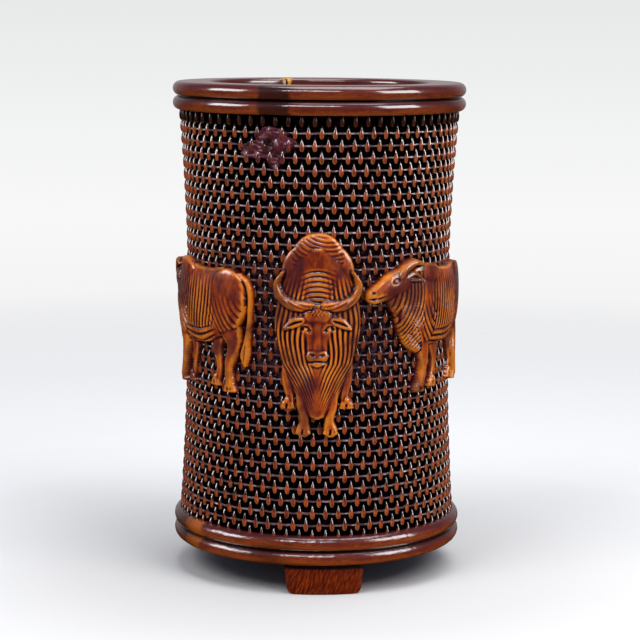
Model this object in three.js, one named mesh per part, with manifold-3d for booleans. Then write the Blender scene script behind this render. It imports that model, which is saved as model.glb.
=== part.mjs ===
// A carved brush pot. A waisted tube, carved all over as basket weave, is held between a turned mouth
// ring and a turned base ring. A floor board is trapped under the tube, three block feet are tenoned into
// the base ring, and five oxen, carved in high relief, are seated round the waist.
// Millimetres, +Z up. The origin is the middle of the plane that the feet stand on, and -Y is the front.
import * as THREE from "three";
import { mergeVertices } from "three/addons/utils/BufferGeometryUtils.js";
import Module from "manifold-3d";

// Driving dimensions.
const overallHeight = 150;
const footHeight = 8.8;
const baseRingHeight = 8.8;
const mouthRingHeight = 8.6;

// The tube: its wall at the waist, and the waisted profile that the crests of its weave lie on.
const waistRadius = 40.5;
const wallThickness = 7.3;
const waistHeight = 84;
const topFlare = 2.6;
const bottomFlare = 2.3;

// The weave, carved as pods in staggered rows, which are larger and fewer than the real ones: how many there
// are to a row, how many rows, and how deep the ground between the pods lies under their crests.
const podsAround = 48;
const podRows = 23;
const podRelief = 1.8;

// The two rings, each turned with two half-round beads that stand out from the weave beside them.
const mouthOverhang = 1.8;
const baseOverhang = 1.7;
const beadDepth = 2.1;
const mouthEdgeRound = 1.2;

// The spigots that the tube has at both ends, and the sockets that take them.
const spigotWall = 4.8;
const topSpigotLength = 3.8;
const bottomSpigotLength = 3.2;
const jointClearance = 0.3;

// The floor board lies on a ledge of the base ring, and its edge is trapped under the tube's end.
const floorEdge = 2.6;
const floorThickness = 3.2;
const ledgeWidth = 6.3;

// The feet: curved blocks with a tenon on top, set in from the beads. The rear two stand closer together.
const feetTurn = 3.5;
const rearFootTurn = 132;
const footTopWidth = 23.7;
const footBottomWidth = 22.4;
const footCornerRadius = 2.6;
const footSetIn = 1.5;
const footThickness = 7.5;
const tenonWidth = 14;
const tenonDepth = 3.6;
const tenonHeight = 2.4;

// The oxen: how high the middle of the front one and of the others is, the millimetres to a unit of their
// drawings, how far their fullest forms stand out from the weave, how deep the middle of each form lies in
// it, and the gap that the seat under an ox keeps.
const frontOxHeight = 77;
const sideOxHeight = 80.5;
const drawingUnit = 1;
const oxRelief = 3.4;
const oxRoot = 1.2;
const oxSeatGap = 0.3;

// How far round from the front the middle of each ox stands, in degrees to the viewer's right.
const rightOxTurn = 59;
const leftOxTurn = -63;
const rearRightOxTurn = 133;
const rearLeftOxTurn = -139;

// Facets.
const ringSegments = 64;
const beadSegments = 6;
const edgeSegments = 3;
const flareStep = 12;
const formSegments = 10;
const formRings = 6;

// Levels worked out from the sizes above.
const baseRingTop = footHeight + baseRingHeight;
const mouthRingBottom = overallHeight - mouthRingHeight;
const floorTop = baseRingTop - bottomSpigotLength - jointClearance;
const ledgeTop = floorTop - floorThickness;

// Radii worked out from the sizes above.
const boreRadius = waistRadius - wallThickness;
const spigotRadius = boreRadius + spigotWall;
const socketRadius = spigotRadius + jointClearance;
const mouthBeadRadius = weaveRadius(mouthRingBottom) + mouthOverhang;
const baseBeadRadius = weaveRadius(baseRingTop) + baseOverhang;
const floorRadius = boreRadius + floorEdge;
const ledgeInnerRadius = floorRadius - ledgeWidth;
const footOuterRadius = baseBeadRadius - footSetIn;
const footInnerRadius = footOuterRadius - footThickness;

const wasm = await Module();
wasm.setup();

const radians = THREE.MathUtils.degToRad;

// Solids and geometries.

// A three.js geometry as a solid for cutting and joining.
function solid(geometry) {
  const bare = geometry.clone();
  bare.deleteAttribute("normal");
  bare.deleteAttribute("uv");
  const merged = mergeVertices(bare, 1e-3);
  return new wasm.Manifold(
    new wasm.Mesh({
      numProp: 3,
      vertProperties: merged.attributes.position.array,
      triVerts: new Uint32Array(merged.index.array),
    }),
  );
}

// A solid back as a three.js geometry.
function geometryOf(cut) {
  const mesh = cut.getMesh();
  const geometry = new THREE.BufferGeometry();
  geometry.setAttribute("position", new THREE.BufferAttribute(mesh.vertProperties, 3));
  geometry.setIndex(new THREE.BufferAttribute(mesh.triVerts, 1));
  geometry.computeVertexNormals();
  return geometry;
}

// A closed profile of [radius, height] points turned about the Z axis.
function turned(profile, segments = ringSegments) {
  const points = profile.map(([radius, height]) => new THREE.Vector2(radius, height));
  points.push(points[0].clone());
  return new THREE.LatheGeometry(points, segments).rotateX(Math.PI / 2);
}

// A box of the given size, centred on a point.
function box(size, centre) {
  return new THREE.BoxGeometry(...size).translate(...centre);
}

// The half-round bead of a ring, as profile points from its lower root to its upper root.
function beadProfile(crestRadius, low, high) {
  const middle = (low + high) / 2;
  const points = [];
  for (let i = 0; i <= beadSegments; i++) {
    const angle = radians(-90 + (180 * i) / beadSegments);
    points.push([
      crestRadius - beadDepth + beadDepth * Math.cos(angle),
      middle + ((high - low) / 2) * Math.sin(angle),
    ]);
  }
  return points;
}

// Two beads that meet in a groove, from the bottom of a ring to its top.
function twinBeads(crestRadius, low, high) {
  const groove = (low + high) / 2;
  return [...beadProfile(crestRadius, low, groove), ...beadProfile(crestRadius, groove, high).slice(1)];
}

// The tube.

// The radius of the weave's crests at a height.
function weaveRadius(height) {
  const rise = height - waistHeight;
  const span = rise > 0 ? mouthRingBottom - waistHeight : baseRingTop - waistHeight;
  const flare = rise > 0 ? topFlare : bottomFlare;
  return waistRadius + flare * (rise / span) ** 2;
}

// The waisted profile from one height up to another, at a distance outside the weave's crests.
function waistProfile(low, high, outside) {
  const steps = Math.ceil((high - low) / flareStep);
  return Array.from({ length: steps + 1 }, (_, i) => {
    const height = low + ((high - low) * i) / steps;
    return [weaveRadius(height) + outside, height];
  });
}

// The waisted profile with a point at the middle of each row of pods, and its ends on the ground.
function wovenProfile() {
  const rowPitch = (mouthRingBottom - baseRingTop) / podRows;
  const rows = Array.from({ length: podRows }, (_, row) => {
    const height = baseRingTop + (row + 0.5) * rowPitch;
    return [weaveRadius(height), height];
  });
  return [
    [weaveRadius(baseRingTop) - podRelief, baseRingTop],
    ...rows,
    [weaveRadius(mouthRingBottom) - podRelief, mouthRingBottom],
  ];
}

// Sinks every other point of the rows of pods to the ground, by turns from one row to the next.
function sinkGround(points, levels, firstRow) {
  for (let column = 0; column <= 2 * podsAround; column++) {
    for (let row = 1 - (column % 2); row < podRows; row += 2) {
      const i = column * levels + firstRow + row;
      const radius = Math.hypot(points.getX(i), points.getY(i));
      const share = (radius - podRelief) / radius;
      points.setXY(i, points.getX(i) * share, points.getY(i) * share);
    }
  }
}

// The faces between the columns of points. Each square is split from ground to ground, so a pod has four.
function podFaces(levels, firstRow) {
  const faces = [];
  for (let column = 0; column < 2 * podsAround; column++) {
    for (let level = 0; level < levels - 1; level++) {
      const low = column * levels + level;
      const high = low + 1;
      const lowNext = low + levels;
      const highNext = high + levels;
      const crestIsLow = (column + level + firstRow) % 2 === 0;
      faces.push(...(crestIsLow ? [low, lowNext, high] : [low, lowNext, highNext]));
      faces.push(...(crestIsLow ? [highNext, high, lowNext] : [highNext, high, low]));
    }
  }
  return faces;
}

// The tube: spigot, shoulder, woven wall, shoulder and spigot outside, and a plain bore inside.
function wallTube() {
  const below = [
    [boreRadius, baseRingTop - bottomSpigotLength],
    [spigotRadius, baseRingTop - bottomSpigotLength],
    [spigotRadius, baseRingTop],
  ];
  const above = [
    [spigotRadius, mouthRingBottom],
    [spigotRadius, mouthRingBottom + topSpigotLength],
    [boreRadius, mouthRingBottom + topSpigotLength],
  ];
  const tube = turned([...below, ...wovenProfile(), ...above], 2 * podsAround);
  const levels = tube.attributes.position.count / (2 * podsAround + 1);
  const firstRow = below.length + 1;
  sinkGround(tube.attributes.position, levels, firstRow);
  tube.setIndex(podFaces(levels, firstRow));
  tube.computeVertexNormals();
  return tube;
}

// The rings, the floor and the feet.

// The mouth ring: two beads, a flat top with a rounded inner edge, and a socket for the tube's spigot.
function mouthRing() {
  const socketTop = mouthRingBottom + topSpigotLength + jointClearance;
  const edge = [];
  for (let i = 0; i <= edgeSegments; i++) {
    const angle = radians(90 - (90 * i) / edgeSegments);
    edge.push([
      boreRadius + mouthEdgeRound * (1 - Math.cos(angle)),
      overallHeight - mouthEdgeRound * (1 - Math.sin(angle)),
    ]);
  }
  return turned([
    [socketRadius, mouthRingBottom],
    ...twinBeads(mouthBeadRadius, mouthRingBottom, overallHeight),
    ...edge,
    [boreRadius, socketTop],
    [socketRadius, socketTop],
  ]);
}

// The base ring: two beads, a socket for the tube, a seat for the floor board and a ledge under it.
function baseRing() {
  const seatRadius = floorRadius + jointClearance;
  const ring = solid(
    turned([
      [ledgeInnerRadius, footHeight],
      ...twinBeads(baseBeadRadius, footHeight, baseRingTop),
      [socketRadius, baseRingTop],
      [socketRadius, floorTop],
      [seatRadius, floorTop],
      [seatRadius, ledgeTop],
      [ledgeInnerRadius, ledgeTop],
    ]),
  );
  const mortises = footAngles().map((angle) => solid(tenonBlock(jointClearance).rotateZ(radians(angle))));
  return geometryOf(mortises.reduce((left, mortise) => left.subtract(mortise), ring));
}

function floorBoard() {
  return turned([
    [0, ledgeTop],
    [floorRadius, ledgeTop],
    [floorRadius, floorTop],
    [0, floorTop],
  ]);
}

// How far round from the front each foot stands: front, rear right and rear left.
function footAngles() {
  return [feetTurn, feetTurn + rearFootTurn, feetTurn - rearFootTurn];
}

// The tenon on top of a foot at the front of the pot, or with a clearance the mortise that takes it.
function tenonBlock(clearance) {
  const middleRadius = (footOuterRadius + footInnerRadius) / 2;
  const height = tenonHeight + clearance;
  return box(
    [tenonWidth + 2 * clearance, tenonDepth + 2 * clearance, 2 * height],
    [0, -middleRadius, footHeight],
  );
}

// A foot at the front of the pot: a tapered block with rounded corners, curved like the ring above it.
function foot() {
  const outline = new THREE.Shape();
  const half = footBottomWidth / 2;
  outline.moveTo(-footTopWidth / 2, footHeight);
  outline.lineTo(-half, footCornerRadius);
  outline.quadraticCurveTo(-half, 0, -half + footCornerRadius, 0);
  outline.lineTo(half - footCornerRadius, 0);
  outline.quadraticCurveTo(half, 0, half, footCornerRadius);
  outline.lineTo(footTopWidth / 2, footHeight);
  const block = new THREE.ExtrudeGeometry(outline, {
    depth: 2 * footOuterRadius,
    bevelEnabled: false,
    curveSegments: 4,
  }).rotateX(Math.PI / 2);
  const shell = turned([
    [footInnerRadius, -footHeight],
    [footOuterRadius, -footHeight],
    [footOuterRadius, 2 * footHeight],
    [footInnerRadius, 2 * footHeight],
  ]);
  return geometryOf(solid(block).intersect(solid(shell)).add(solid(tenonBlock(0))));
}

// The oxen. Each is modelled flat, with u across and v up in units of its drawing and w outward in
// millimetres, and then wrapped onto the tube.

// A rounded form of the given half sizes that stands out from the weave by its relief, leaning by an angle.
function form([u, v], halfWidth, halfHeight, relief, lean = 0) {
  return new THREE.SphereGeometry(1, formSegments, formRings)
    .scale(halfWidth * drawingUnit, halfHeight * drawingUnit, relief + oxRoot)
    .rotateZ(radians(lean))
    .translate(u * drawingUnit, v * drawingUnit, -oxRoot);
}

// A long form from one point to another.
function limb([fromU, fromV], [toU, toV], thickness, relief) {
  const length = Math.hypot(toU - fromU, toV - fromV);
  const lean = THREE.MathUtils.radToDeg(Math.atan2(toV - fromV, toU - fromU)) - 90;
  const middle = [(fromU + toU) / 2, (fromV + toV) / 2];
  return form(middle, thickness / 2, length / 2 + thickness / 2, relief, lean);
}

// Long forms in a row through [u, v, thickness] points, such as a leg, a horn or a tail.
function limbs(points, relief) {
  return points.slice(1).map((point, i) => limb(points[i], point, (points[i][2] + point[2]) / 2, relief));
}

// The forms wrapped round the tube at a height, joined, and cut away behind to sit on the weave.
function seated(forms, middleHeight) {
  const wrapped = forms.map((flat) => {
    const points = flat.attributes.position;
    for (let i = 0; i < points.count; i++) {
      const angle = points.getX(i) / waistRadius;
      const height = middleHeight + points.getY(i);
      const radius = weaveRadius(height) + points.getZ(i);
      points.setXYZ(i, radius * Math.sin(angle), -radius * Math.cos(angle), height);
    }
    return solid(flat);
  });
  const seat = turned([
    [0, baseRingTop],
    ...waistProfile(baseRingTop, mouthRingBottom, oxSeatGap),
    [0, mouthRingBottom],
  ]);
  const whole = wrapped.reduce((joined, next) => joined.add(next));
  return geometryOf(whole.subtract(solid(seat)));
}

// The ox that faces the viewer, seen from above its head: rump at the top, horned head in the middle.
function facingOx() {
  const pairs = [-1, 1].flatMap((side) => [
    form([side * 6.8, 20.5], 4.6, 6.5, 0.55 * oxRelief, side * -14),
    ...limbs([[side * 3.6, -14, 5], [side * 3.6, -23, 3.2], [side * 3.9, -27.6, 3.8]], 0.65 * oxRelief),
    ...limbs([[side * 7.5, -5, 5.4], [side * 8, -17, 3], [side * 8.5, -19.8, 3.4]], 0.4 * oxRelief),
    limb([side * 3.8, 5.2], [side * 9, 2.8], 2.8, 0.85 * oxRelief),
    ...limbs(
      [[side * 2.2, 9.3, 3.4], [side * 7.4, 9.6, 3.1], [side * 11.2, 13.4, 2.4], [side * 10.2, 18.6, 1.2]],
      0.95 * oxRelief,
    ),
  ]);
  return seated(
    [
      form([0, 24.3], 6.8, 6.2, 0.7 * oxRelief),
      form([0, 4], 12.6, 18.5, 0.75 * oxRelief),
      form([0, -9], 8.4, 12.5, 0.7 * oxRelief),
      form([0, 14], 5.2, 6.5, 0.82 * oxRelief),
      form([0, 3], 4.7, 7, oxRelief),
      form([0, -4.8], 3.3, 3.6, oxRelief),
      ...pairs,
    ],
    frontOxHeight,
  );
}

// An ox in profile that faces the viewer's left, or right where side is -1. Its head is raised or lowered
// by the given height.
function profileOx(side, headRise) {
  const at = (u, v, thickness) => [side * u, v, thickness];
  const head = (u, v, thickness) => at(u, v + headRise, thickness);
  return seated(
    [
      form(at(3, 4.2), 18, 12, 0.8 * oxRelief),
      form(at(16.2, 5.8), 7.2, 9.8, 0.9 * oxRelief, side * -8),
      form(at(-8.6, 3), 7.4, 11, 0.9 * oxRelief),
      form(at(-5.5, 12.4), 7.6, 4.6, 0.85 * oxRelief),
      limb(at(-8, 6.5), head(-16.5, 8), 13, 0.85 * oxRelief),
      ...limbs([at(-10, -7, 4), at(-14.5, -1.5, 5), head(-16.5, 5, 4)], 0.6 * oxRelief),
      ...limbs([head(-16.8, 10.6, 8), head(-21, 9.2, 7), head(-25.4, 7, 5)], 0.95 * oxRelief),
      ...limbs([head(-17, 12.6, 3.2), head(-13.6, 16.8, 2.6), head(-15, 22, 1.4)], 0.85 * oxRelief),
      limb(head(-15.2, 11.6), head(-10.2, 11.2), 2.8, 0.95 * oxRelief),
      ...limbs([at(-8.2, -4, 6.8), at(-7.2, -14, 3.4), at(-8.8, -20.2, 3.6)], 0.7 * oxRelief),
      ...limbs([at(-2.5, -4, 5.2), at(-0.6, -14, 3), at(-1.9, -19.4, 3.4)], 0.4 * oxRelief),
      ...limbs([at(16.5, -1, 8.8), at(18.2, -10, 4), at(17.4, -20, 3.6)], 0.7 * oxRelief),
      ...limbs([at(12.5, -1, 6), at(12.2, -13, 3), at(11.5, -18.8, 3.4)], 0.4 * oxRelief),
      ...limbs([at(20.5, 13.5, 1.8), at(24, 8, 1.8), at(23.8, -3, 1.8), at(22.7, -12, 2.8)], 0.6 * oxRelief),
    ],
    sideOxHeight,
  );
}

// The whole pot.

const model = new THREE.Group();
model.name = "brush_pot";

const materials = {
  ring: new THREE.MeshStandardMaterial({ color: 0x7a3216, roughness: 0.3, metalness: 0 }),
  weave: new THREE.MeshStandardMaterial({ color: 0x6b3018, roughness: 0.4, metalness: 0 }),
  ox: new THREE.MeshStandardMaterial({ color: 0xa85a22, roughness: 0.3, metalness: 0 }),
  floor: new THREE.MeshStandardMaterial({ color: 0x5a2f1a, roughness: 0.7, metalness: 0 }),
};

// Adds a named piece, turned round the pot by an angle in degrees, positive to the viewer's right.
function add(name, geometry, material, angle = 0) {
  geometry.rotateZ(radians(angle));
  const mesh = new THREE.Mesh(geometry, material);
  mesh.name = name;
  model.add(mesh);
}

add("wall_tube", wallTube(), materials.weave);
add("mouth_ring", mouthRing(), materials.ring);
add("base_ring", baseRing(), materials.ring);
add("floor_board", floorBoard(), materials.floor);

const footNames = ["foot_front", "foot_rear_right", "foot_rear_left"];
footAngles().forEach((angle, i) => add(footNames[i], foot(), materials.ring, angle));

add("ox_front", facingOx(), materials.ox);
add("ox_right", profileOx(1, 1.5), materials.ox, rightOxTurn);
add("ox_left", profileOx(1, -1), materials.ox, leftOxTurn);
add("ox_rear_right", profileOx(-1, -3), materials.ox, rearRightOxTurn);
add("ox_rear_left", profileOx(1, 0), materials.ox, rearLeftOxTurn);

export default model;
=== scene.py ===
"""A carved brush pot: a basket-weave wall between beaded rings, oxen in high relief and block feet."""

import math

import bmesh
import bpy
import numpy as np
from mathutils import Matrix, Vector, noise


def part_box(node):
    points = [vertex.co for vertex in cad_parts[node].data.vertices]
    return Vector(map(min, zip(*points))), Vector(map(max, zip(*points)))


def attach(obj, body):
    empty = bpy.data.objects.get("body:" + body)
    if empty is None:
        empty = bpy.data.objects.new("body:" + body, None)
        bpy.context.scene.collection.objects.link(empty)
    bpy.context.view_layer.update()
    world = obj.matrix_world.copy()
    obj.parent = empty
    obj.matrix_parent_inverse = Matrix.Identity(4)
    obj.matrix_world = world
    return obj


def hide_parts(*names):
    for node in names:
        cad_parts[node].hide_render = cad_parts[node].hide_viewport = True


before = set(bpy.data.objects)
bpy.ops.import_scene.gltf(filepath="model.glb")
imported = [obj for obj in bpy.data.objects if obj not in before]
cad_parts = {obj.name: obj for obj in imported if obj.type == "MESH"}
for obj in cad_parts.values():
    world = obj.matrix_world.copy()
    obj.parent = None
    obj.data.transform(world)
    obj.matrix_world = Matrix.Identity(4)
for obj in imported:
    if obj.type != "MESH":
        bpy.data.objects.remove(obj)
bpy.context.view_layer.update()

MM = 0.001

# Levels and radii of the pot, in millimetres.
RIM_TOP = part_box("mouth_ring")[1].z / MM
RIM_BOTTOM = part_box("mouth_ring")[0].z / MM
BASE_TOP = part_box("base_ring")[1].z / MM
BASE_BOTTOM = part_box("base_ring")[0].z / MM
MOUTH_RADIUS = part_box("mouth_ring")[1].x / MM
BASE_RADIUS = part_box("base_ring")[1].x / MM
FLOOR_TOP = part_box("floor_board")[1].z / MM
FLOOR_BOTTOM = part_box("floor_board")[0].z / MM
FLOOR_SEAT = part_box("floor_board")[1].x / MM + 0.3
BORE_RADIUS = 33.2
BORE_LINING = 2.0
SOCKET_RADIUS = 38.3
SOCKET_DEPTH = 4.1
LEDGE_RADIUS = 29.5
BEAD_DEPTH = 2.1
GROOVE_DEPTH = 3.0
LIP_ROUND = 1.2
FOOT_EASE = 0.45

# The angle at which the groove cuts the beads of a ring, and the share of a bead's height that it blackens
# with painted shade and dark wax.
MOUTH_CUT = 68.0
MOUTH_GROOVE = 0.15
BASE_CUT = 55.0
BASE_GROOVE = 0.16

# How finely the turned pieces and their beads are rounded.
RING_STEPS = 288
GROUND_STEPS = 132
BORE_STEPS = 144
BEAD_STEPS = 12

# The weave: the crests of its pods lie on a waisted profile, and its rows are counted down from the mouth
# ring, so that the last one is half hidden behind the base ring.
WAIST_RADIUS = 40.5
WAIST_HEIGHT = 84.0
TOP_FLARE = 2.6
BOTTOM_FLARE = 2.3
PODS_AROUND = 68
POD_ROWS = 35
ROW_PITCH = 3.613
POD_WIDTH = 1.8
POD_TIP = 3.0
POD_BOTTOM = 1.7
POD_RELIEF = 1.3
POD_LEAN = 0.9
POD_MIDDLE = 0.42
POD_TURN = 0.8 / WAIST_RADIUS
WEFT_MIDDLE = 0.4
WEFT_DEPTH = 0.6
WEFT_RADIUS = 0.28
WEFT_SWAY = 0.26
GROUND_DEPTH = 1.8

# The carver's hand: how far the weave wobbles, and how many times in a millimetre. Blender seeds this noise
# from the clock, so a seed of the script's own makes each run alike.
noise.seed_set(7)
CARVING_WOBBLE = 0.12
CARVING_WAVES = 0.35
WEFT_WOBBLE = 0.2
WEFT_WAVES = 1.1

# The oxen: the heights of their middles, and half the width and height that each is drawn in. Those in
# profile also have an azimuth, how far the head is raised, and 1 to face left or -1 to face right.
FRONT_OX_HEIGHT = 77.0
SIDE_OX_HEIGHT = 80.5
FACING_HALVES = (13.5, 31.5)
PROFILE_HALVES = (28.5, 25)
SIDE_OXEN = {
    "ox_right": (59, 1.5, 1),
    "ox_left": (-63, -1.0, 1),
    "ox_rear_right": (133, -3.0, -1),
    "ox_rear_left": (-139, 0.0, 1),
}

# Carving: its fineness, how deep its edge and back lie, how far round a point a hollow is felt, and how the
# edge and a level stretch count between 0 for a hollow and 1 for a crest, for the painted shade of the
# figures.
CARVING_GRID = 0.22
CARVING_EDGE = -1.3
CARVING_BACK = -1.6
SHADE_REACH = 0.66
EDGE_HOLLOW = 0.1
LEVEL_HOLLOW = 0.56

# The lacquer that fills a patch of the weave: its middle, the half width and height it is drawn in, how deep
# its face lies under the crests, and how far round it the wefts are sunk.
FILL_AZIMUTH = -21.0
FILL_HEIGHT = 132.0
FILL_HALVES = (11.0, 7.5)
FILL_DEPTH = 0.65
FILL_REACH = 8.0
SUNK_DEPTH = 0.6

# The age crack in the mouth ring: its azimuth, its half width and depth, the chip where it meets the lip,
# and how far beside it and into the ring the mesh is refined for it.
CRACK_AZIMUTH = -161.9
CRACK_HALF = 0.24
CRACK_DEPTH = 0.9
CHIP_HALF = 1.75
CHIP_HEIGHT = 5.5
CHIP_DEPTH = 0.9
CRACK_SIDES = 2.6
CRACK_REACH = 3.5

# The dark spot on the mouth ring and the orange one on the base ring: their azimuths, the height of the
# first one over the ring's bottom, and how broad they are for their height.
MOUTH_SPOT_AZIMUTH = -17.0
MOUTH_SPOT_RISE = 4.0
BASE_SPOT_AZIMUTH = -58.0
SPOT_SQUASH = 0.3

# The camera that took the photograph, fitted to the rings: millimetres and degrees.
CAMERA_PLACE = (0.7, -636.5, 169.2)
CAMERA_PITCH = 8.32
CAMERA_ROLL = 0.45
CAMERA_FIELD = 17.62


# Colours and nodes.


def colour(hex_code):
    """An sRGB hex colour as linear RGBA."""
    parts = [int(hex_code[i : i + 2], 16) / 255 for i in (1, 3, 5)]
    linear = [c / 12.92 if c <= 0.04045 else ((c + 0.055) / 1.055) ** 2.4 for c in parts]
    return (*linear, 1.0)


def wire(node, inputs):
    """Sets or links the inputs of a node. A node given for an input stands for its first output."""
    for name, value in inputs.items():
        if isinstance(value, bpy.types.Node):
            value = value.outputs[0]
        if isinstance(value, bpy.types.NodeSocket):
            node.id_data.links.new(value, node.inputs[name])
        else:
            node.inputs[name].default_value = value


def add_node(tree, kind, inputs=None, stops=(), **settings):
    """Adds a node with its settings, its inputs and, on a ramp, its colour stops."""
    node = tree.nodes.new("ShaderNode" + kind)
    for name, value in settings.items():
        setattr(node, name, value)
    wire(node, inputs or {})
    for place, hex_code in stops[2:]:
        node.color_ramp.elements.new(place)
    for element, (place, hex_code) in zip(node.color_ramp.elements if stops else (), stops):
        element.position = place
        element.color = colour(hex_code)
    return node


def new_material(name, roughness, coat=0.0, coat_roughness=0.12, gloss=0.1):
    """A material, its node tree and shader, and the place on the piece. Its gloss lies in a coat of wax."""
    material = bpy.data.materials.new(name)
    material.use_nodes = True
    tree = material.node_tree
    shader = tree.nodes["Principled BSDF"]
    wire(shader, {"Roughness": roughness, "Specular IOR Level": gloss})
    wire(shader, {"Coat Weight": coat, "Coat Roughness": coat_roughness, "Coat IOR": 1.6})
    return material, tree, shader, add_node(tree, "TexCoord").outputs["Object"]


# The wall's profile.


def crest_radius(height):
    """The radius of the weave's crests at a height, in millimetres."""
    rise = height - WAIST_HEIGHT
    span = np.where(rise > 0, RIM_BOTTOM - WAIST_HEIGHT, WAIST_HEIGHT - BASE_TOP)
    flare = np.where(rise > 0, TOP_FLARE, BOTTOM_FLARE)
    return WAIST_RADIUS + flare * (rise / span) ** 2


def on_wall(azimuth, height):
    """The point of the weave's crests at an azimuth in degrees and a height, in millimetres."""
    radius = float(crest_radius(height))
    return (radius * math.sin(math.radians(azimuth)), -radius * math.cos(math.radians(azimuth)), height)


# Materials. The width of each cloud, streak and grain is in real millimetres.


def clouded(tree, vector, width, detail, roughness, stops):
    """The colours of a ramp, in clouds or streaks of a width in millimetres."""
    noisy = {"Vector": vector, "Scale": 1 / (width * MM), "Detail": detail, "Roughness": roughness}
    cloud = add_node(tree, "TexNoise", noisy)
    return add_node(tree, "ValToRGB", {"Fac": cloud}, stops)


def mottled(tree, level, cloud, low, high, stops):
    """The colours of a ramp at a level from the mesh, which a cloud shifts from the low to the high value."""
    shift = add_node(tree, "MapRange", {0: cloud, 1: 0.3, 2: 0.7, 3: low, 4: high})
    shifted = add_node(tree, "Math", {0: level, 1: shift}, operation="ADD")
    return add_node(tree, "ValToRGB", {"Fac": shifted}, stops)


def beads_up(tree, place, bottom, bead):
    """How high on a ring a point lies, counted in beads: the groove is at 1 and the lip just under 2."""
    height = add_node(tree, "SeparateXYZ", {"Vector": place}).outputs["Z"]
    return add_node(
        tree, "MapRange", {0: height, 1: (bottom - 0.03) * MM, 2: (bottom + 1.01 * bead) * MM}, clamp=False
    )


def bead_colours(tree, beads, cloud, grain, wear):
    """Painted warm brown low on each bead for floor bounce and dark red high on it for the dim room it
    mirrors, blotched by the cloud, speckled by the grain.
    """
    phase = add_node(tree, "Math", {0: beads}, operation="FRACT")
    blotched = add_node(tree, "Math", {0: cloud, 1: 0.9, 2: phase}, operation="MULTIPLY_ADD")
    speckled = add_node(tree, "Math", {0: grain, 1: 0.45, 2: blotched}, operation="MULTIPLY_ADD")
    level = add_node(tree, "Math", {0: speckled, 1: 0.5, 2: -0.15 * wear}, operation="MULTIPLY_ADD")
    stops = [(0.25, "#742c06"), (0.42, "#964208"), (0.55, "#6c220c"), (0.7, "#461418"), (0.85, "#522022")]
    return add_node(tree, "ValToRGB", {"Fac": level}, stops)


def ring_shade(tree, place, beads, groove_width):
    """How dark a ring is: nearly black in the groove between its beads, as painted shade with dark wax, and
    dim where old wax stains it.
    """
    centre = add_node(tree, "Math", {0: beads, 1: 1.0}, operation="SUBTRACT")
    away = add_node(tree, "Math", {0: centre}, operation="ABSOLUTE")
    edge = {0: away, 1: 0.03, 2: groove_width, 3: 0.02, 4: 1.0}
    groove = add_node(tree, "MapRange", edge, interpolation_type="SMOOTHSTEP")
    stain = add_node(
        tree, "TexNoise", {"Vector": place, "Scale": 1 / (45.5 * MM), "Detail": 3.0, "Roughness": 0.5}
    )
    dim = add_node(tree, "MapRange", {0: stain, 1: 0.34, 2: 0.46, 3: 0.35, 4: 1.0})
    return add_node(tree, "Math", {0: groove, 1: dim}, operation="MULTIPLY")


def spot_share(tree, place, cloud, spot):
    """How much an upright spot with frayed edges covers: it is about ten millimetres wide."""
    flat = add_node(tree, "Mapping", {"Vector": place, "Scale": (1, 1, SPOT_SQUASH)})
    middle = (spot[0] * MM, spot[1] * MM, SPOT_SQUASH * spot[2] * MM)
    away = add_node(tree, "VectorMath", {0: flat, 1: middle}, operation="DISTANCE")
    frayed = add_node(tree, "Math", {0: cloud, 1: 4 * MM, 2: away.outputs["Value"]}, operation="MULTIPLY_ADD")
    return add_node(tree, "MapRange", {0: frayed, 1: 6.2 * MM, 2: 7.4 * MM, 3: 0.8, 4: 0.0})


def chipped(tree, finish):
    """A finish with the age crack over it: bright split bamboo in the chip, and black painted shade in the
    slit.
    """
    chip = add_node(tree, "Attribute", attribute_name="chip").outputs["Fac"]
    stops = [(0.3, "#8a5016"), (0.6, "#d8a040"), (0.8, "#050202")]
    split = add_node(tree, "ValToRGB", {"Fac": chip}, stops)
    bare = add_node(tree, "MapRange", {0: chip, 1: 0.02, 2: 0.12})
    mixed = add_node(tree, "Mix", {"Factor": bare, "A": finish, "B": split}, data_type="RGBA")
    return mixed.outputs["Result"]


def turned_bamboo(name, bottom, bead, groove_width, spot, spot_colour, wear):
    """Bamboo turned on a lathe, waxed and glossy: each bead is painted warm brown below as floor bounce and
    dark red above as a reflection of the dim room.

    The groove between the beads is painted black, as shade with dark wax, over the given share of a bead's
    height.
    A spot of another colour lies round the given point. Wear breaks up the gloss and bares the brown.
    """
    material, tree, shader, place = new_material(name, 0.4, 1.0, 0.13)
    stretched = add_node(tree, "Mapping", {"Vector": place, "Scale": (1, 1, 3)})
    cloud = add_node(
        tree, "TexNoise", {"Vector": stretched, "Scale": 1 / (16.7 * MM), "Detail": 6.0, "Roughness": 0.65}
    )
    grain = add_node(
        tree, "TexNoise", {"Vector": stretched, "Scale": 1 / (1.43 * MM), "Detail": 2.0, "Roughness": 0.5}
    )
    beads = beads_up(tree, place, bottom, bead)
    base = bead_colours(tree, beads, cloud, grain, wear)
    share = spot_share(tree, place, cloud, spot)
    spotted = add_node(tree, "Mix", {"Factor": share, "A": base, "B": colour(spot_colour)}, data_type="RGBA")
    shade = ring_shade(tree, place, beads, groove_width)
    shaded = add_node(tree, "VectorMath", {0: spotted.outputs["Result"], "Scale": shade}, operation="SCALE")
    pitted = add_node(tree, "Bump", {"Height": grain, "Strength": wear, "Distance": 0.2 * MM})
    wire(shader, {"Base Color": chipped(tree, shaded), "Coat Normal": pitted})
    return material


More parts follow.
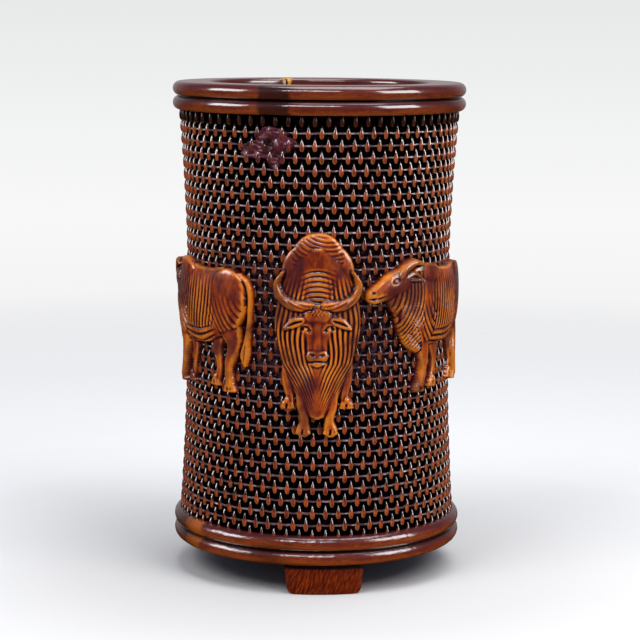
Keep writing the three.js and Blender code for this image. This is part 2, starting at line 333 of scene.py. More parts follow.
def foot_bamboo():
    """Bamboo cut across its fibres: orange brown with short slanted streaks, and painted black shade against
    the ring.
    """
    material, tree, shader, place = new_material("cut_bamboo", 0.5, 0.08, gloss=0.05)
    slant = {"Vector": place, "Rotation": (0, 0.35, 0), "Scale": (0.2, 1, 1.4)}
    slanted = add_node(tree, "Mapping", slant, vector_type="TEXTURE")
    stops = [(0.32, "#340a00"), (0.5, "#601a02"), (0.7, "#903604")]
    base = clouded(tree, slanted, 1.61, 3.0, 0.6, stops)
    # Painted shade: the top of the foot goes black just under the ring.
    height = add_node(tree, "SeparateXYZ", {"Vector": place}).outputs["Z"]
    edge = {0: height, 1: (BASE_BOTTOM - 1.5) * MM, 2: (BASE_BOTTOM - 0.8) * MM, 3: 1.0, 4: 0.03}
    painted_shade_under_ring = add_node(tree, "MapRange", edge)
    shaded = add_node(tree, "VectorMath", {0: base, "Scale": painted_shade_under_ring}, operation="SCALE")
    wire(shader, {"Base Color": shaded})
    return material


def bore_bamboo():
    """The inside of the culm: smooth, oiled, yellow brown, with streaks along the wall."""
    material, tree, shader, place = new_material("oiled_bamboo_bore", 0.4, 0.5)
    stretched = add_node(tree, "Mapping", {"Vector": place, "Scale": (1, 1, 0.12)})
    stops = [(0.3, "#3c1606"), (0.55, "#783608"), (0.75, "#9a5412")]
    wire(shader, {"Base Color": clouded(tree, stretched, 4.17, 4.0, 0.6, stops)})
    return material


def from_oxen(tree, place):
    """How far above or below the middle of the side oxen a point lies, in metres."""
    height = add_node(tree, "SeparateXYZ", {"Vector": place}).outputs["Z"]
    rise = add_node(tree, "Math", {0: height, 1: SIDE_OX_HEIGHT * MM}, operation="SUBTRACT")
    return add_node(tree, "Math", {0: rise}, operation="ABSOLUTE")


def weave_shade(tree, place):
    """How dark the weave is painted: nearly black under the mouth ring as its painted shadow, and smoky round
    the oxen.
    """
    height = add_node(tree, "SeparateXYZ", {"Vector": place}).outputs["Z"]
    # Painted shadow under the overhang of the mouth ring.
    painted_shadow_under_rim = add_node(
        tree, "MapRange", {0: height, 1: (RIM_BOTTOM - 4.6) * MM, 2: (RIM_BOTTOM - 2.6) * MM, 3: 1.0, 4: 0.14}
    )
    smoky = add_node(tree, "MapRange", {0: from_oxen(tree, place), 1: 10 * MM, 2: 24 * MM, 3: 0.62, 4: 1.0})
    return add_node(tree, "Math", {0: painted_shadow_under_rim, 1: smoky}, operation="MULTIPLY")


def carved_pods():
    """Carved and waxed bamboo: orange red pods with a painted pale rim light, and painted shade from dark red
    to black at their sides and tips.
    """
    material, tree, shader, place = new_material("carved_waxed_bamboo", 0.4, 1.0, 0.09)
    wire(shader, {"Coat IOR": 1.85})
    painted_light = add_node(tree, "Attribute", attribute_name="painted_light").outputs["Fac"]
    painted_rim_light = add_node(tree, "Attribute", attribute_name="painted_rim_light").outputs["Fac"]
    cloud = add_node(
        tree, "TexNoise", {"Vector": place, "Scale": 1 / (3.33 * MM), "Detail": 2.0, "Roughness": 0.5}
    )
    stops = [(0.15, "#050101"), (0.5, "#340806"), (0.78, "#7e2404"), (1.0, "#ac4606")]
    # The painted light from the mesh gives the colour, mottled by the cloud, and a painted pale rim light
    # goes over it.
    core = mottled(tree, painted_light, cloud, -0.25, 0.15, stops)
    pale = add_node(tree, "MapRange", {0: painted_rim_light, 1: 0.4, 2: 0.95, 3: 0.0, 4: 0.8})
    painted_rim_lit = add_node(tree, "Mix", {"Factor": pale, "A": core, "B": colour("#c07448")}, data_type="RGBA")
    away = add_node(tree, "VectorMath", {0: place, 1: FILL_MIDDLE * MM}, operation="DISTANCE")
    coated = add_node(tree, "MapRange", {0: away.outputs["Value"], 1: 4.5 * MM, 2: 8.5 * MM, 3: 0.8, 4: 0.0})
    layers = {"Factor": coated, "A": painted_rim_lit.outputs["Result"], "B": colour("#3c0e1e")}
    stained = add_node(tree, "Mix", layers, data_type="RGBA")
    # Painted shadow under the mouth ring darkens the pods and takes their gloss; they are smoky round the
    # oxen.
    shade = weave_shade(tree, place)
    shaded = add_node(tree, "VectorMath", {0: stained.outputs["Result"], "Scale": shade}, operation="SCALE")
    wire(shader, {"Base Color": shaded, "Coat Weight": shade})
    return material


def worn_wefts():
    """The strands between the pods: purple brown wax over bamboo, glossy where the light grazes them."""
    material, tree, shader, place = new_material("waxed_wefts", 0.4, 1.0, 0.32)
    stops = [(0.35, "#381e22"), (0.55, "#6c464a"), (0.75, "#988084")]
    base = clouded(tree, place, 2.38, 2.0, 0.5, stops)
    # Painted shadow under the mouth ring darkens the wefts and takes their gloss.
    shade = weave_shade(tree, place)
    shaded = add_node(tree, "VectorMath", {0: base, "Scale": shade}, operation="SCALE")
    wire(shader, {"Base Color": shaded, "Coat Weight": shade})
    return material


def shadowed_ground():
    """The bottom of the carving: painted black as the shade in its recesses, and purple brown and rough round
    the oxen.
    """
    material, tree, shader, place = new_material("painted_shade_recess", 0.6, gloss=0.0)
    band = add_node(tree, "MapRange", {0: from_oxen(tree, place), 1: 15 * MM, 2: 34 * MM, 3: 0.3, 4: 0.0})
    cloud = add_node(
        tree, "TexNoise", {"Vector": place, "Scale": 1 / (1.11 * MM), "Detail": 2.0, "Roughness": 0.6}
    )
    level = add_node(tree, "Math", {0: cloud, 1: band}, operation="ADD")
    stops = [(0.55, "#040303"), (0.75, "#1e0e12"), (0.95, "#5a3a44")]
    wire(shader, {"Base Color": add_node(tree, "ValToRGB", {"Fac": level}, stops)})
    return material


def filled_lacquer():
    """Purple red lacquer run into the weave, softly lumpy and half glossy."""
    material, tree, shader, place = new_material("purple_lacquer", 0.5, 0.3, 0.35)
    stops = [(0.35, "#26050c"), (0.55, "#4e1020"), (0.75, "#7a3444")]
    wire(shader, {"Base Color": clouded(tree, place, 3.85, 2.0, 0.5, stops)})
    return material


def painted_shade_carving():
    """Carved figures: painted shade makes them dark purple red where folds lie deep and round their outline,
    and painted light orange brown on top.
    """
    material, tree, shader, place = new_material("carved_bamboo_painted_shade", 0.4, 0.65, 0.14)
    hollow = add_node(tree, "Attribute", attribute_name="hollow").outputs["Fac"]
    stretched = add_node(tree, "Mapping", {"Vector": place, "Scale": (1, 1, 0.6)})
    cloud = add_node(
        tree, "TexNoise", {"Vector": stretched, "Scale": 1 / (3.85 * MM), "Detail": 5.0, "Roughness": 0.65}
    )
    stops = [(0.12, "#0c0206"), (0.36, "#3a1018"), (0.52, "#742408"), (0.66, "#a84606"), (0.86, "#d07418")]
    base = mottled(tree, hollow, cloud, -0.18, 0.14, stops)
    patina = add_node(
        tree, "TexNoise", {"Vector": place, "Scale": 1 / (13.3 * MM), "Detail": 3.0, "Roughness": 0.6}
    )
    aged = add_node(tree, "MapRange", {0: patina, 1: 0.46, 2: 0.6, 3: 0.0, 4: 0.75})
    mixed = add_node(tree, "Mix", {"Factor": aged, "A": base, "B": colour("#48141a")}, data_type="RGBA")
    rough = add_node(tree, "Bump", {"Height": cloud, "Strength": 0.35, "Distance": 0.4 * MM})
    wire(shader, {"Base Color": mixed.outputs["Result"], "Normal": rough, "Coat Normal": rough})
    return material


def dusty_board():
    """A plain bamboo board across the bottom of the bore, dull with dust in soft patches."""
    material, tree, shader, place = new_material("dusty_bamboo_board", 0.7)
    stretched = add_node(tree, "Mapping", {"Vector": place, "Scale": (1, 7, 1)})
    stops = [(0.3, "#341808"), (0.55, "#4e2a12"), (0.75, "#6a4426")]
    wire(shader, {"Base Color": clouded(tree, stretched, 11.1, 5.0, 0.5, stops)})
    return material


FILL_MIDDLE = Vector(on_wall(FILL_AZIMUTH, FILL_HEIGHT))
MOUTH_SPOT = on_wall(MOUTH_SPOT_AZIMUTH, RIM_BOTTOM + MOUTH_SPOT_RISE)
BASE_SPOT = on_wall(BASE_SPOT_AZIMUTH, BASE_TOP)
MOUTH_BEAD = (RIM_TOP - RIM_BOTTOM) / 2
BASE_BEAD = (BASE_TOP - BASE_BOTTOM) / 2
MOUTH_BAMBOO = turned_bamboo(
    "polished_bamboo", RIM_BOTTOM, MOUTH_BEAD, MOUTH_GROOVE, MOUTH_SPOT, "#1c0608", wear=0.1
)
BASE_BAMBOO = turned_bamboo(
    "worn_bamboo", BASE_BOTTOM, BASE_BEAD, BASE_GROOVE, BASE_SPOT, "#ac5610", wear=0.45
)
FOOT_BAMBOO = foot_bamboo()
BORE_BAMBOO = bore_bamboo()
POD_BAMBOO = carved_pods()
WEFT_BAMBOO = worn_wefts()
GROUND_BAMBOO = shadowed_ground()
LACQUER = filled_lacquer()
OX_BAMBOO = painted_shade_carving()
FLOOR_BAMBOO = dusty_board()


# Shapes.


def shown(name, data):
    """A new object in the scene."""
    new = bpy.data.objects.new(name, data)
    bpy.context.scene.collection.objects.link(new)
    return new


def meshed(name, shape, material):
    """A mesh object in the scene, from a bmesh that is used up."""
    mesh = bpy.data.meshes.new(name)
    shape.to_mesh(mesh)
    shape.free()
    mesh.materials.append(material)
    return shown(name, mesh)


def finished(name, shape, material, nodes=(), smooth=True):
    """A mesh object from a bmesh in millimetres: shaded, dressed, riding on the pot."""
    bmesh.ops.scale(shape, vec=(MM, MM, MM), verts=shape.verts)
    for face in shape.faces:
        face.smooth = smooth
    piece = meshed(name, shape, material)
    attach(piece, "root")
    if nodes:
        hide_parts(*nodes)


def verts_in(geometry):
    """The vertices of a mixed list of geometry."""
    return [item for item in geometry if isinstance(item, bmesh.types.BMVert)]


def turned(profile, steps):
    """A closed profile of (radius, height) points turned about the pot's axis."""
    shape = bmesh.new()
    points = [shape.verts.new((radius, 0, height)) for radius, height in profile]
    edges = [shape.edges.new((a, b)) for a, b in zip(points, points[1:] + points[:1])]
    bmesh.ops.spin(
        shape,
        geom=points + edges,
        cent=(0, 0, 0),
        axis=(0, 0, 1),
        angle=math.tau,
        steps=steps,
        use_merge=True,
    )
    bmesh.ops.remove_doubles(shape, verts=shape.verts, dist=1e-4)
    bmesh.ops.recalc_face_normals(shape, faces=shape.faces)
    return shape


def arc(centre, radii, start, end, steps):
    """Points on part of an ellipse, from one angle to another in degrees."""
    angles = np.radians(np.linspace(start, end, steps + 1))
    return [(centre[0] + radii[0] * math.cos(a), centre[1] + radii[1] * math.sin(a)) for a in angles]


# The rings.


def twin_beads(radius, low, high, cut):
    """Two half-round beads, one above the other: the groove between them cuts each at an angle in degrees."""
    middle = (low + high) / 2
    half = (high - low) / 4
    lower = arc((radius - BEAD_DEPTH, middle - half), (BEAD_DEPTH, half), -90, cut, BEAD_STEPS)
    upper = arc((radius - BEAD_DEPTH, middle + half), (BEAD_DEPTH, half), -cut, 90, BEAD_STEPS)
    return [*lower, (radius - GROOVE_DEPTH, middle), *upper]


def crack_open(shape):
    """Opens the age crack in a ring: a slit down the inner wall and a chip where it meets the lip."""
    middle = Vector((math.sin(math.radians(CRACK_AZIMUTH)), -math.cos(math.radians(CRACK_AZIMUTH)), 0))
    across = Vector((-middle.y, middle.x, 0))
    reach = BORE_RADIUS + CRACK_REACH

    def near(vert):
        radius = math.hypot(vert.co.x, vert.co.y)
        return vert.co.dot(middle) > 0 and abs(vert.co.dot(across)) < CRACK_SIDES and radius < reach

    edges = [edge for edge in shape.edges if all(near(vert) for vert in edge.verts)]
    bmesh.ops.subdivide_edges(shape, edges=edges, cuts=3, use_grid_fill=True)
    layer = shape.verts.layers.float.new("chip")
    for vert in shape.verts:
        aside = abs(vert.co.dot(across))
        below = RIM_TOP - vert.co.z
        radius = math.hypot(vert.co.x, vert.co.y)
        half = CHIP_HALF * (1 - below / CHIP_HEIGHT)
        if not near(vert) or vert.co.z < RIM_BOTTOM + SOCKET_DEPTH + 0.1 or aside > max(half, CRACK_HALF):
            continue
        fade = 1 - max(radius - BORE_RADIUS - LIP_ROUND, 0) / (reach - BORE_RADIUS - LIP_ROUND)
        depth = CHIP_DEPTH * (1 - aside / max(half, CRACK_HALF)) * fade
        if aside < CRACK_HALF:
            depth += CRACK_DEPTH * fade
        vert[layer] = 1.0 if aside < CRACK_HALF else 0.35 + 0.4 * fade * (1 - aside / half)
        vert.co.z -= depth * 0.4 * (below < LIP_ROUND)
        vert.co.x *= 1 + depth / radius
        vert.co.y *= 1 + depth / radius


def mouth_ring():
    """Two beads, a flat lip with a rounded inner edge, the socket for the wall, and the age crack."""
    edge = arc((BORE_RADIUS + LIP_ROUND, RIM_TOP - LIP_ROUND), (LIP_ROUND, LIP_ROUND), 90, 180, 6)
    socket_top = RIM_BOTTOM + SOCKET_DEPTH
    lip = [(radius, RIM_TOP) for radius in np.linspace(MOUTH_RADIUS - 4, BORE_RADIUS + 2.2, 5)]
    wall = [(BORE_RADIUS, height) for height in np.linspace(RIM_TOP - LIP_ROUND - 0.7, socket_top, 4)]
    beads = twin_beads(MOUTH_RADIUS, RIM_BOTTOM, RIM_TOP, MOUTH_CUT)
    profile = [(SOCKET_RADIUS, RIM_BOTTOM), *beads, *lip, *edge, *wall, (SOCKET_RADIUS, socket_top)]
    shape = turned(profile, RING_STEPS)
    crack_open(shape)
    return shape


def base_ring():
    """Two beads, the socket for the wall, and the ledge that carries the floor."""
    return turned(
        [
            (LEDGE_RADIUS, BASE_BOTTOM),
            *twin_beads(BASE_RADIUS, BASE_BOTTOM, BASE_TOP, BASE_CUT),
            (SOCKET_RADIUS, BASE_TOP),
            (SOCKET_RADIUS, FLOOR_TOP),
            (FLOOR_SEAT, FLOOR_TOP),
            (FLOOR_SEAT, FLOOR_BOTTOM),
            (LEDGE_RADIUS, FLOOR_BOTTOM),
        ],
        RING_STEPS,
    )


def eased_foot(node):
    """A foot as the frame has it, with its sharp edges eased."""
    shape = bmesh.new()
    shape.from_mesh(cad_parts[node].data)
    bmesh.ops.scale(shape, vec=(1 / MM, 1 / MM, 1 / MM), verts=shape.verts)
    bmesh.ops.remove_doubles(shape, verts=shape.verts, dist=1e-3)
    bmesh.ops.dissolve_limit(shape, angle_limit=math.radians(2), verts=shape.verts, edges=shape.edges)
    sharp = [edge for edge in shape.edges if edge.calc_face_angle(0) > math.radians(35)]
    bmesh.ops.bevel(
        shape,
        geom=sharp,
        offset=FOOT_EASE,
        segments=3,
        profile=0.5,
        affect="EDGES",
        material=-1,
        clamp_overlap=True,
    )
    return shape


# The weave.


def weave_pods():
    """The pods: drops with a blunt bottom and a pointed tip, up a column and then round the pot."""
    shape = bmesh.new()
    bmesh.ops.create_uvsphere(shape, u_segments=8, v_segments=6, radius=1.0)
    painted_light = shape.verts.layers.float.new("painted_light")
    painted_rim_light = shape.verts.layers.float.new("painted_rim_light")
    for vert in shape.verts:
        across, inward, rise = vert.co
        facing = max(-inward, 0.0) / max(math.hypot(across, inward), 0.01)
        above = max(rise, 0.0)
        below = max(-rise, 0.0)
        plump = (1 - 0.55 * above) * (1 + 0.2 * below**2)
        girth = math.hypot(across, inward) * plump
        # Painted light: bright where a pod faces out, painted shade dark red to black at its sides and tip; a
        # painted pale rim light along its edges and bottom.
        vert[painted_light] = facing**0.6 * (1 - 0.7 * above)
        edge = (0.3 < facing < 0.9) * (1 - 0.8 * above) * (0.85 if across > 0 else 1)
        vert[painted_rim_light] = max(edge, below**4)
        vert.co.x = across * plump * POD_WIDTH / 2
        vert.co.y = POD_RELIEF * (1 - facing) ** 0.8 * (0.3 + 0.7 * girth)
        vert.co.y += POD_LEAN * (above**2.4 + 0.35 * below**2.4)
        vert.co.z = above**1.5 * POD_TIP - below * POD_BOTTOM
    pod = shape.verts[:] + shape.edges[:] + shape.faces[:]
    for row in range(POD_ROWS):
        verts = verts_in(bmesh.ops.duplicate(shape, geom=pod)["geom"])
        height = RIM_BOTTOM - (row + POD_MIDDLE) * ROW_PITCH
        turn = Matrix.Rotation(math.pi / PODS_AROUND * ((row + 1) % 2) + POD_TURN, 3, "Z")
        bmesh.ops.translate(shape, vec=(0, -float(crest_radius(height)), height), verts=verts)
        bmesh.ops.rotate(shape, cent=(0, 0, 0), matrix=turn, verts=verts)
    bmesh.ops.delete(shape, geom=verts_in(pod), context="VERTS")
    bmesh.ops.spin(
        shape,
        geom=shape.verts[:] + shape.edges[:] + shape.faces[:],
        cent=(0, 0, 0),
        axis=(0, 0, 1),
        angle=math.tau * (PODS_AROUND - 1) / PODS_AROUND,
        steps=PODS_AROUND - 1,
        use_duplicate=True,
    )
    for vert in shape.verts:
        vert.co += noise.noise_vector(vert.co * CARVING_WAVES) * CARVING_WOBBLE
    bmesh.ops.recalc_face_normals(shape, faces=shape.faces)
    return shape


def weave_wefts():
    """The strands that run round between the pods, one to a row, six-sided with a facet turned upward.

    They bulge between pods, and sink out of sight under the lacquer.
    """
    shape = bmesh.new()
    for row in range(1, POD_ROWS - 1):
        height = RIM_BOTTOM - (row + WEFT_MIDDLE) * ROW_PITCH
        middle = float(crest_radius(height)) - WEFT_DEPTH - WEFT_RADIUS
        place = (
            Matrix.Translation((middle, 0, height))
            @ Matrix.Rotation(math.pi / 2, 4, "X")
            @ Matrix.Rotation(math.radians(10), 4, "Z")
        )
        bmesh.ops.create_circle(shape, segments=6, radius=WEFT_RADIUS, matrix=place)
    bmesh.ops.spin(
        shape,
        geom=shape.verts[:] + shape.edges[:],
        cent=(0, 0, 0),
        axis=(0, 0, 1),
        angle=math.tau,
        steps=4 * PODS_AROUND,
        use_merge=True,
    )
    bmesh.ops.remove_doubles(shape, verts=shape.verts, dist=1e-4)
    for vert in shape.verts:
        row = round((RIM_BOTTOM - vert.co.z) / ROW_PITCH - WEFT_MIDDLE)
        angle = math.atan2(vert.co.x, -vert.co.y) - POD_TURN
        sway = WEFT_SWAY * math.cos(PODS_AROUND * angle + math.pi * row)
        radius = math.hypot(vert.co.x, vert.co.y)
        if (vert.co - FILL_MIDDLE).length < FILL_REACH:
            sway = -SUNK_DEPTH
        vert.co += noise.noise_vector(vert.co * WEFT_WAVES) * WEFT_WOBBLE
        vert.co.x *= 1 + sway / radius
        vert.co.y *= 1 + sway / radius
        vert.co += noise.noise_vector(vert.co * CARVING_WAVES) * CARVING_WOBBLE
    bmesh.ops.recalc_face_normals(shape, faces=shape.faces)
    return shape


def waisted_tube(inner, depth):
    """A tube from one radius out to a depth under the weave's crests."""
    heights = np.linspace(BASE_TOP, RIM_BOTTOM, 41)
    outside = [(float(crest_radius(height)) - depth, height) for height in heights]
    return turned([(inner, BASE_TOP), *outside, (inner, RIM_BOTTOM)], GROUND_STEPS)


def bore_wall():
    """The smooth inner wall, from the floor up into the mouth ring."""
    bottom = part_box("wall_tube")[0].z / MM
    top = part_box("wall_tube")[1].z / MM
    outer = BORE_RADIUS + BORE_LINING
    return turned([(BORE_RADIUS, bottom), (outer, bottom), (outer, top), (BORE_RADIUS, top)], BORE_STEPS)


# Relief carving. Forms are drawn flat: u across and v up from the middle of the figure, in millimetres.


def curve_through(points, steps=6):
    """More points on a smooth curve through the given ones."""
    knots = np.asarray(points, float)
    ends = np.vstack([2 * knots[0] - knots[1], knots, 2 * knots[-1] - knots[-2]])
    t = np.linspace(0, 1, steps, endpoint=False)[:, None]
    parts = []
    for a, b, c, d in zip(ends, ends[1:], ends[2:], ends[3:]):
        parts.append(b + 0.5 * t * (c - a + t * (2 * a - 5 * b + 4 * c - d + t * (3 * b - a - 3 * c + d))))
    return np.vstack([*parts, knots[-1:]])


def rounded(share):
    """1 in the middle of a form, falling to 0 on its edge as a half round does."""
    return np.sqrt(np.clip(1 - share * share, 0, None))


def dome(u, v, centre, halves, lean=0.0):
    """A rounded form with an elliptical outline, leaning by an angle in degrees."""
    cos, sin = math.cos(math.radians(lean)), math.sin(math.radians(lean))
    across = (cos * (u - centre[0]) + sin * (v - centre[1])) / halves[0]
    up = (-sin * (u - centre[0]) + cos * (v - centre[1])) / halves[1]
    return rounded(np.hypot(across, up))


def limb(u, v, points, smooth=5):
    """A rounded form along a line through (u, v, half width) points."""
    line = curve_through(points, smooth)
    nearest = np.full(u.shape, 9.0)
    for a, b in zip(line, line[1:]):
        step = b - a
        along = ((u - a[0]) * step[0] + (v - a[1]) * step[1]) / (step[0] ** 2 + step[1] ** 2)
        along = np.clip(along, 0, 1)
        away = np.hypot(u - a[0] - along * step[0], v - a[1] - along * step[1])
        nearest = np.minimum(nearest, away / (a[2] + along * step[2]))
    return rounded(nearest)


def body(along, across, stations):
    """A rounded form whose middle and half width follow (place, middle, half width) stations."""
    line = curve_through(stations)
    middle = np.interp(along, line[:, 0], line[:, 1])
    half = np.interp(along, line[:, 0], line[:, 2], left=0, right=0)
    return np.where(half > 0.05, rounded((across - middle) / np.maximum(half, 0.05)), 0)


def laid_on(height, form, edge, swell):
    """Lays a form on what is there: its edge stands at one height, and its middle higher by the swell."""
    return np.where(form > 0, np.maximum(height, edge + swell * form), height)


def folds(phase):
    """Soft round folds with narrow valleys, one to each whole number of the phase."""
    return (1 - np.abs(np.sin(math.pi * phase))) ** 2


def cloven(u, v, height, toe, edge):
    """Lays a hoof on what is there: it widens to a flat sole at the toe, with a cleft up its middle."""
    x, y = toe
    form = limb(u, v, [(x, y + 2.2, 1.0), (x, y + 0.6, 1.9), (x, y, 2.2)], 1) * (v > y - 0.5)
    height = laid_on(height, form, edge, 1.0)
    return height - 0.6 * limb(u, v, [(x - 0.3, y - 0.8, 0.35), (x - 0.1, y + 1.0, 0.2)], 1) * (form > 0)


def wander(u, v):
    """A slow irregular wave that keeps carved folds from running evenly."""
    slow = 0.5 * np.sin(0.42 * u + 0.83 * v)
    return slow + 0.4 * np.sin(1.1 * u - 0.5 * v + 1) + 0.3 * np.sin(1.7 * v + 0.6 * u)


def between(value, low, high):
    """0 under the low value, 1 over the high one, and a straight rise between them."""
    return np.clip((value - low) / (high - low), 0, 1)


# The ox seen head-on from above.

FACING_TRUNK = [
    *[(-24.2, 0, 0.3), (-23.4, 0, 2.2), (-21, 0, 4.3), (-17, 0, 6.4), (-11, 0, 8.8), (-4, 0, 11.4)],
    *[(3, 0, 12.6), (9, 0, 12.2), (14, 0, 11.0), (19, 0, 9.4), (23, 0, 6.8), (26, 0, 3.0)],
]
FACING_HEAD = [
    *[(-8.4, 0, 0.8), (-7.8, 0, 2.2), (-6.2, 0, 3.2), (-4.2, 0, 3.1), (-1.5, 0, 3.2)],
    *[(1.5, 0, 4.1), (4.5, 0, 4.7), (7, 0, 4.3), (9, 0, 2.8), (9.8, 0, 0.8)],
]


def sided(side, points):
    """The points of a limb on the right side, or mirrored to the left where the side is -1."""
    return [(side * x, y, half) for x, y, half in points]


def facing_rear(u, v, height):
    """The hind legs, the haunches and the rump with its folds."""
    hind_right = limb(u, v, [(7.5, -4, 3), (8.2, -12, 2.2), (8.0, -17, 1.3), (8.6, -19.5, 1.9)])
    hind_left = limb(u, v, [(-7.5, -6, 3), (-8.2, -13, 2.2), (-7.8, -18, 1.3), (-8.4, -20.5, 1.9)])
    for form in (hind_right, hind_left):
        height = laid_on(height, form, 0.1, 0.9)
    for side in (-1, 1):
        height = laid_on(height, dome(u, v, (side * 5.4, 20.5), (4.8, 6.8), side * 20), 0.6, 1.3)
    rump = dome(u, v, (0, 23.6), (7.4, 7.0))
    height = laid_on(height, rump, 0.7, 1.7)
    return height - 0.22 * folds(np.hypot(u - 3, v - 36) / 1.35 + 0.2 * wander(0.5 * u, v)) * (rump > 0.1)


def facing_trunk(u, v, height):
    """The trunk with its hanging folds of skin, and the hump with the rolls along the spine."""
    trunk = body(v, u, FACING_TRUNK)
    height = laid_on(height, trunk, 0.4, 2.2)
    share = np.sqrt(np.clip(1 - trunk**2, 0, 1))
    sideways = 8.4 * share + 0.05 * v - 0.3 * np.minimum(v + 8, 0)
    drape = folds(sideways + 0.3 * wander(0.35 * u, 0.3 * v))
    depth = 0.75 * between(share, 0.05, 0.25) * between(-v, -18, -11) * between(v, -21, -16)
    height -= depth * drape * (trunk > 0)
    height = laid_on(height, dome(u, v, (0, 14.0), (5.2, 5.4)), 1.7, 1.0)
    spine = folds((v - 9 + 0.06 * u * u) / 1.5) * between(-np.abs(u), -5.5, -1.5)
    return height - 0.42 * spine * (v > 7) * (v < 20)


def facing_legs(u, v, height):
    """The forelegs and the four hooves."""
    for side in (-1, 1):
        leg = sided(side, [(3.6, -14, 2.6), (3.9, -20, 2.0), (3.5, -24.5, 1.4), (3.9, -27.6, 2.1)])
        height = laid_on(height, limb(u, v, leg), 0.5, 1.5)
        height = cloven(u, v, height, (side * 3.9, -28.2), 0.9)
        height = cloven(u, v, height, (side * 8.5, -20.8), 0.4)
    return height


def facing_head(u, v, height):
    """The ears, the head with its brow, muzzle and ridge of the nose, and the curls of the forelock."""
    for side in (-1, 1):
        ear = limb(u, v, sided(side, [(3.8, 5.2, 1.0), (6.4, 4.4, 1.5), (9.2, 2.6, 0.5)]))
        height = laid_on(height, ear, 2.3, 0.6)
        height -= 0.6 * limb(u, v, sided(side, [(4.4, 4.9, 0.3), (6.4, 4.3, 0.5), (8.2, 3.3, 0.2)]))
    height = laid_on(height, body(v, u, FACING_HEAD), 2.0, 1.1)
    height = laid_on(height, dome(u, v, (0, 6.6), (3.6, 2.6)), 2.8, 0.6)
    height = laid_on(height, dome(u, v, (0, -5.4), (3.0, 2.2)), 2.7, 0.8)
    height = laid_on(height, limb(u, v, [(0, 5, 1.4), (0, 0, 1.2), (0, -4, 1.3)]), 2.9, 0.35)
    height -= 0.6 * limb(u, v, [(-2.2, -7.1, 0.3), (0, -6.8, 0.4), (2.2, -7.1, 0.3)])
    for side in (-1, 1):
        height = facing_eye_and_horn(u, v, height, side)
    curls = folds(u + 0.4 * np.sin(v * 3))
    return height - 0.35 * curls * dome(u, v, (0, 8.2), (2.8, 2.4))


def facing_eye_and_horn(u, v, height, side):
    """A nostril, an eye in its socket and a ringed horn."""
    height -= 0.65 * dome(u, v, (side * 1.35, -5.0), (0.75, 0.55), side * 25)
    height -= 0.6 * limb(u, v, sided(side, [(2.2, 2.2, 0.5), (3.3, 2.9, 0.8), (4.3, 2.5, 0.5)]))
    height += 0.55 * dome(u, v, (side * 3.2, 2.55), (0.75, 0.6))
    points = [(2.2, 9.3, 1.7), (6.5, 9.4, 1.6), (10.2, 11.6, 1.25), (11.6, 15.4, 0.9), (9.9, 19.0, 0.45)]
    horn = limb(u, v, sided(side, points))
    height = laid_on(height, horn, 2.1, 1.3)
    return height - 0.2 * folds(np.hypot(u - side * 2, v - 17) / 1.1) * (horn > 0.3)


def facing_ox(u, v):
    """An ox seen head-on from above: horned head in front, hump, back and rump behind it."""
    height = np.full(u.shape, CARVING_EDGE)
    for part in (facing_rear, facing_trunk, facing_legs, facing_head):
        height = part(u, v, height)
    return height


# The ox in profile, facing left.

PROFILE_TRUNK = [
    *[(-17, 3, 5.5), (-14, 3.2, 8.6), (-10, 4.3, 11.4), (-5, 4.7, 12.2), (2, 3.6, 11.6)],
    *[(9, 3.9, 11.0), (15, 5.6, 10.2), (19.5, 6.2, 8.6), (22, 6.5, 5.6), (23, 6.6, 2)],
]
PROFILE_TAIL = [
    *[(20.5, 13.5, 0.9), (23.6, 10.5, 0.9), (24.2, 2, 0.7)],
    *[(23.4, -5, 0.9), (22.6, -10, 1.5), (22.8, -13, 0.5)],
]


def profile_rear(u, v, height):
    """The two legs on the far side, and the tail with its tuft."""
    far_fore = limb(u, v, [(-2.5, -4, 2.6), (-0.5, -10, 2.0), (-0.8, -15, 1.3), (-1.8, -19.2, 1.7)])
    far_hind = limb(u, v, [(12.5, -1, 3.0), (11.5, -8, 2.0), (12.8, -14, 1.2), (11.6, -18.6, 1.7)])
    for form in (far_fore, far_hind):
        height = laid_on(height, form, 0.1, 0.9)
    tail = limb(u, v, PROFILE_TAIL)
    height = laid_on(height, tail, 0.8, 0.9)
    return height - 0.4 * folds((u - 22.8 - 0.1 * v) / 0.9) * (tail > 0.1) * (v < -7)


def profile_trunk(u, v, height, loose):
    """The trunk, with folds down its flank that turn along the belly."""
    trunk = body(u, v, PROFILE_TRUNK)
    height = laid_on(height, trunk, 0.5, 2.5)
    share = np.sqrt(np.clip(1 - trunk**2, 0, 1))
    flank = (trunk > 0) * between(-np.abs(u - 1.5), -11, -8)
    low = between(share, 0.5, 0.7) * (v < 3)
    ribs = folds((u - 0.2 * v + 0.012 * v * v) / 1.5 + loose)
    height -= 0.75 * ribs * flank * (1 - low) * between(-v, -13, -5)
    return height - 0.6 * folds(6.5 * share + loose) * flank * low


def profile_quarters(u, v, height, loose):
    """The haunch and the shoulder, each with folds that turn round it, and the hump."""
    haunch = dome(u, v, (16.2, 5.8), (7.2, 9.6), -8)
    height = laid_on(height, haunch, 1.9, 1.3)
    round_haunch = folds(np.hypot(u - 27, 0.7 * (v - 14)) / 1.5 + loose)
    height -= 0.35 * round_haunch * (haunch > 0.05) * between(-v, -8, 0)
    shoulder = dome(u, v, (-8.6, 2.6), (6.2, 9.8), 6)
    height = laid_on(height, shoulder, 1.9, 1.2)
    turned_in = (shoulder > 0.05) * between(u, -9.5, -8) * between(-v, -9, -2)
    height -= 0.5 * folds(np.hypot(u - 3, 0.7 * (v - 12)) / 1.5 + loose) * turned_in
    return laid_on(height, dome(u, v, (-5.5, 12.6), (7.4, 4.4), -6), 1.5, 1.1)


